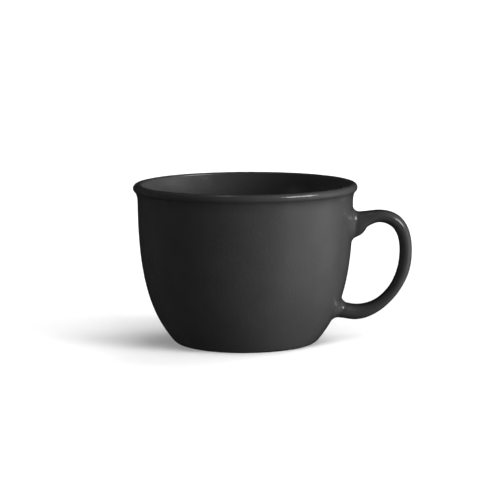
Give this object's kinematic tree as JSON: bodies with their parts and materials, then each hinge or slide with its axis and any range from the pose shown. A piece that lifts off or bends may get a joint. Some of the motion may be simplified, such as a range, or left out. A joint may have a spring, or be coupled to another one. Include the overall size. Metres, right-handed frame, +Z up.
{
  "type": "ceramic mug",
  "caption": "Wide, low ceramic mug in glossy black glaze, with a rolled lip, a belly that tapers to a foot ring, and a loop handle for two or three fingers.",
  "frame": {"origin": "middle of the whole mug's footprint box, on the surface that it stands on; the bowl's own axis is at x = -0.01415 m, because the handle reaches out on the +X side", "axes": "+X from the bowl towards the handle, +Z up out of the mouth, and the mug is the same on both sides of the XZ plane"},
  "size_m": [0.1442, 0.116, 0.0828],
  "materials": {
    "body_glaze": "glossy black glaze with a faint orange-peel texture, bare clay on the foot ring",
    "handle_glaze": "glossy black glaze",
    "slip_joint_glaze": "glossy black glaze over the wiped fillet of slip"
  },
  "bodies": {
    "root": {"mug_body": "body_glaze", "handle": "handle_glaze", "upper_slip_joint": "slip_joint_glaze", "lower_slip_joint": "slip_joint_glaze"}
  },
  "joints": []
}
